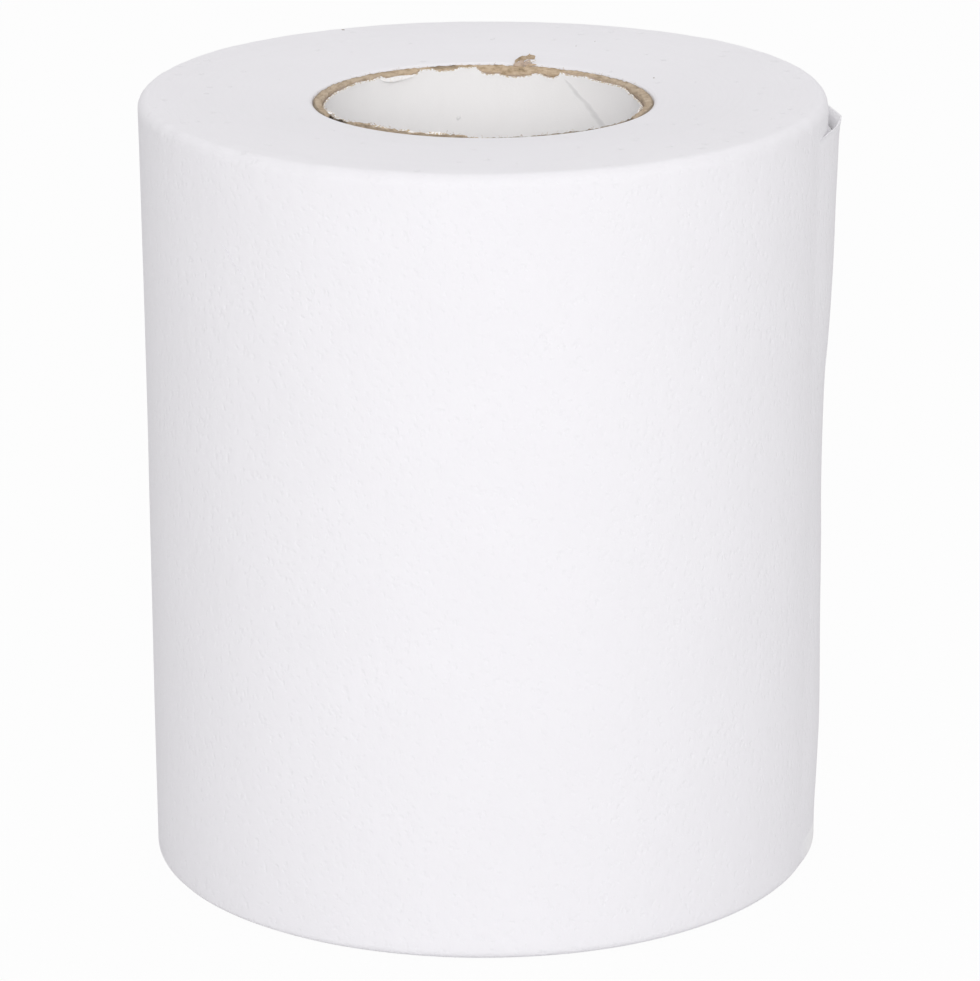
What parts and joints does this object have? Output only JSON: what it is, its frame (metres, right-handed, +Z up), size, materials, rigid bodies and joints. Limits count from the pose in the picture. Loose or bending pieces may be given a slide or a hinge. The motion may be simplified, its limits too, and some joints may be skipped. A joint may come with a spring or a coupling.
{
  "type": "toilet paper roll",
  "caption": "White toilet paper roll on a board tube with a white inner ply, standing on its end, its last wrap lifted off at one side.",
  "frame": {"origin": "on the axis of the tube's bore, in the plane that the roll stands on", "axes": "+Z up along the tube; +X towards the side where the last wrap stands off; -Y towards the picture's camera"},
  "size_m": [0.0916, 0.0894, 0.105],
  "materials": {
    "tissue": "matt, finely creped",
    "board": "matt, torn and fibrous at the rim",
    "liner": "matt, smooth"
  },
  "bodies": {
    "root": {"paper_winding": "tissue", "core_board": "board", "core_liner": "liner"}
  },
  "joints": []
}
